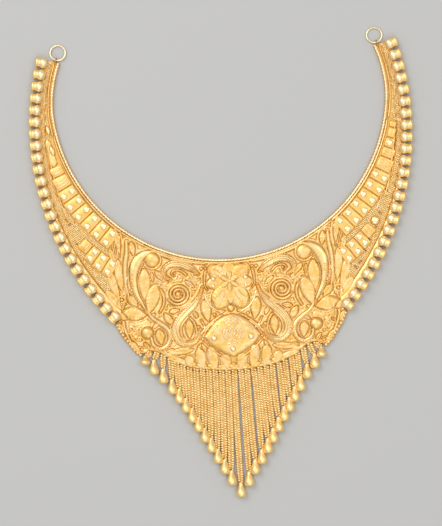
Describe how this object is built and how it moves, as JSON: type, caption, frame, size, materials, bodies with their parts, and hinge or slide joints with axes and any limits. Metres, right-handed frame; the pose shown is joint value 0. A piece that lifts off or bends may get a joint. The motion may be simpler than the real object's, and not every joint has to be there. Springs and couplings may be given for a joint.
{
  "type": "gold bib necklace with chain fringe",
  "caption": "Flat gold bib necklace with scroll relief, pearled arms edged with bell beads, end rings and a pointed fringe of fine chains with pear drops.",
  "frame": {"origin": "centre of the neck arc, on the surface that the necklace lies on", "axes": "+X to the right-hand side as seen from the front, +Y from the fringe towards the end rings, +Z out of the front face"},
  "size_m": [0.1534, 0.1848, 0.0038],
  "materials": {
    "gold_relief": "polished and frosted 22 carat gold",
    "gold_chain": "fine chain in bright gold",
    "gold_wire": "pale polished gold wire"
  },
  "bodies": {
    "root": {"bib": "gold_relief", "arm_left": "gold_relief", "arm_right": "gold_relief", "end_ring_left": "gold_wire", "end_ring_right": "gold_wire", "strand_centre": "gold_chain", "strand_left_01": "gold_chain", "strand_left_02": "gold_chain", "strand_left_03": "gold_chain", "strand_left_04": "gold_chain", "strand_left_05": "gold_chain", "strand_left_06": "gold_chain", "strand_left_07": "gold_chain", "strand_left_08": "gold_chain", "strand_left_09": "gold_chain", "strand_left_10": "gold_chain", "strand_left_11": "gold_chain", "strand_left_12": "gold_chain", "strand_left_13": "gold_chain", "strand_right_01": "gold_chain", "strand_right_02": "gold_chain", "strand_right_03": "gold_chain", "strand_right_04": "gold_chain", "strand_right_05": "gold_chain", "strand_right_06": "gold_chain", "strand_right_07": "gold_chain", "strand_right_08": "gold_chain", "strand_right_09": "gold_chain", "strand_right_10": "gold_chain", "strand_right_11": "gold_chain", "strand_right_12": "gold_chain", "strand_right_13": "gold_chain"}
  },
  "joints": []
}
